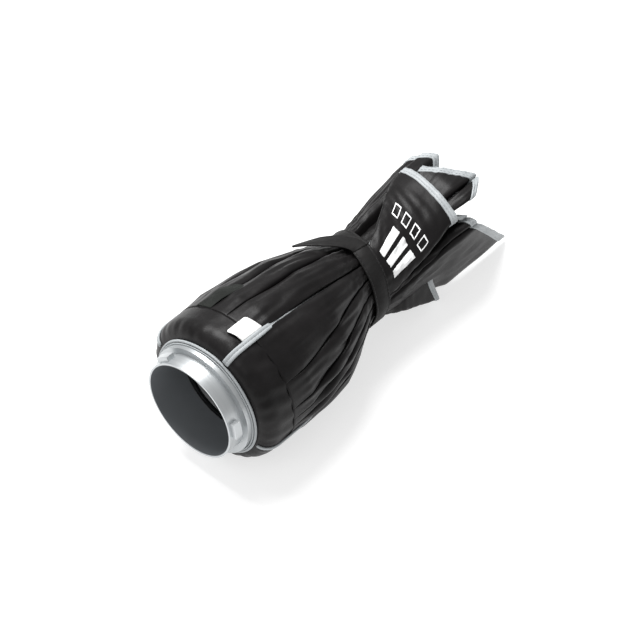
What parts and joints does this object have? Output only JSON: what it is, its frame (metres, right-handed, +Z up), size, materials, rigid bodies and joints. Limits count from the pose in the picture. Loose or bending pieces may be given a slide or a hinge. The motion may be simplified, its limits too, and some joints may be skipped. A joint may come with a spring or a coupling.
{
  "type": "collapsible softbox",
  "caption": "Rectangular light softbox, folded on hinged ribs and strapped, with a turning three-lug bayonet ring.",
  "frame": {"origin": "centre of the ring's mouth, where the light leaves the lamp", "axes": "+X along the optical axis from the mouth to the open front, +Z up as the folded softbox lies"},
  "size_m": [0.398, 0.144, 0.1431],
  "materials": {
    "silver_satin": "satin",
    "black_anodised": "satin",
    "nylon_white": "matte",
    "bright_steel": "satin",
    "zinc_steel": "satin",
    "moulded_black": "matte",
    "black_cloth": "satin",
    "black_webbing": "matte",
    "silver_binding": "satin",
    "white_label": "matte",
    "hook_tape": "matte"
  },
  "bodies": {
    "hub": {"hub_ring": "black_anodised", "glide_ring": "nylon_white", "retaining_ring": "black_anodised", "retaining_screws": "bright_steel", "vent_sleeve": "black_anodised", "sleeve_hoop": "black_anodised", "sleeve_rivets": "bright_steel", "bracket_1": "zinc_steel", "bracket_2": "zinc_steel", "bracket_3": "zinc_steel", "bracket_4": "zinc_steel", "bracket_rivets": "bright_steel", "pivot_pins": "bright_steel", "rear_collar": "black_cloth", "rear_binding": "silver_binding", "tag": "white_label"},
    "ring": {"spigot_ring": "silver_satin", "bayonet_lugs": "silver_satin"},
    "rib_1": {"rib_root_1": "moulded_black", "rib_rod_1": "bright_steel", "rib_tip_1": "moulded_black", "corner_pocket_1": "black_webbing", "panel_1": "black_cloth", "hem_binding_1": "silver_binding", "strap": "black_webbing", "strap_patch": "black_webbing"},
    "seam_1": {"seam_binding_2": "silver_binding"},
    "rib_2": {"rib_root_2": "moulded_black", "rib_rod_2": "bright_steel", "rib_tip_2": "moulded_black", "corner_pocket_2": "black_webbing", "panel_2": "black_cloth", "hem_binding_2": "silver_binding"},
    "seam_2": {"seam_binding_3": "silver_binding"},
    "rib_3": {"rib_root_3": "moulded_black", "rib_rod_3": "bright_steel", "rib_tip_3": "moulded_black", "corner_pocket_3": "black_webbing", "panel_3": "black_cloth", "hem_binding_3": "silver_binding"},
    "seam_3": {"seam_binding_4": "silver_binding"},
    "rib_4": {"rib_root_4": "moulded_black", "rib_rod_4": "bright_steel", "rib_tip_4": "moulded_black", "corner_pocket_4": "black_webbing", "panel_4": "black_cloth", "hem_binding_4": "silver_binding", "vent_flap": "hook_tape"},
    "seam_4": {"seam_binding_1": "silver_binding"}
  },
  "joints": [
    {"name": "ring_turn", "type": "hinge", "parent": "hub", "child": "ring", "pos_m": [0, 0, 0], "axis": [1, 0, 0], "continuous": true},
    {"name": "rib_1_fold", "type": "hinge", "parent": "hub", "child": "rib_1", "pos_m": [0.052, -0.01935, 0.05041], "axis": [0, -0.8182, -0.575], "range_deg": [0, 56.71], "deforming": ["panel_1", "hem_binding_1", "seam_binding_2", "strap", "strap_patch", "rear_collar", "rear_binding", "tag"]},
    {"name": "rib_2_fold", "type": "hinge", "parent": "hub", "child": "rib_2", "pos_m": [0.052, -0.05041, -0.01935], "axis": [0, 0.1202, -0.9928], "range_deg": [0, 56.71], "deforming": ["panel_2", "hem_binding_2", "seam_binding_3"]},
    {"name": "rib_3_fold", "type": "hinge", "parent": "hub", "child": "rib_3", "pos_m": [0.052, 0.01935, -0.05041], "axis": [0, 0.8182, 0.575], "range_deg": [0, 56.71], "deforming": ["panel_3", "hem_binding_3", "seam_binding_4"]},
    {"name": "rib_4_fold", "type": "hinge", "parent": "hub", "child": "rib_4", "pos_m": [0.052, 0.05041, 0.01935], "axis": [0, -0.1202, 0.9928], "range_deg": [0, 56.71], "deforming": ["panel_4", "hem_binding_4", "seam_binding_1", "vent_flap"]},
    {"name": "seam_1_spread", "type": "hinge", "parent": "rib_1", "child": "seam_1", "pos_m": [0.01954, 0.00827, -0.00368], "axis": [-0.4202, 0.829, -0.3691], "range_deg": [0, 56.47]},
    {"name": "seam_2_spread", "type": "hinge", "parent": "rib_2", "child": "seam_2", "pos_m": [0.02204, 0.00248, 0.00558], "axis": [-0.2671, 0.392, 0.8804], "range_deg": [0, 96.2]},
    {"name": "seam_3_spread", "type": "hinge", "parent": "rib_3", "child": "seam_3", "pos_m": [0.01954, -0.00827, 0.00368], "axis": [-0.4202, -0.829, 0.3691], "range_deg": [0, 56.47]},
    {"name": "seam_4_spread", "type": "hinge", "parent": "rib_4", "child": "seam_4", "pos_m": [0.02204, -0.00248, -0.00558], "axis": [-0.2671, -0.392, -0.8804], "range_deg": [0, 96.2]}
  ],
  "couplings": [
    {"joint": "rib_2_fold", "follows": "rib_1_fold", "ratio": 1},
    {"joint": "rib_3_fold", "follows": "rib_1_fold", "ratio": 1},
    {"joint": "rib_4_fold", "follows": "rib_1_fold", "ratio": 1},
    {"joint": "seam_1_spread", "follows": "rib_1_fold", "ratio": 0.99577},
    {"joint": "seam_2_spread", "follows": "rib_1_fold", "ratio": 1.6963},
    {"joint": "seam_3_spread", "follows": "rib_1_fold", "ratio": 0.99577},
    {"joint": "seam_4_spread", "follows": "rib_1_fold", "ratio": 1.6963}
  ]
}
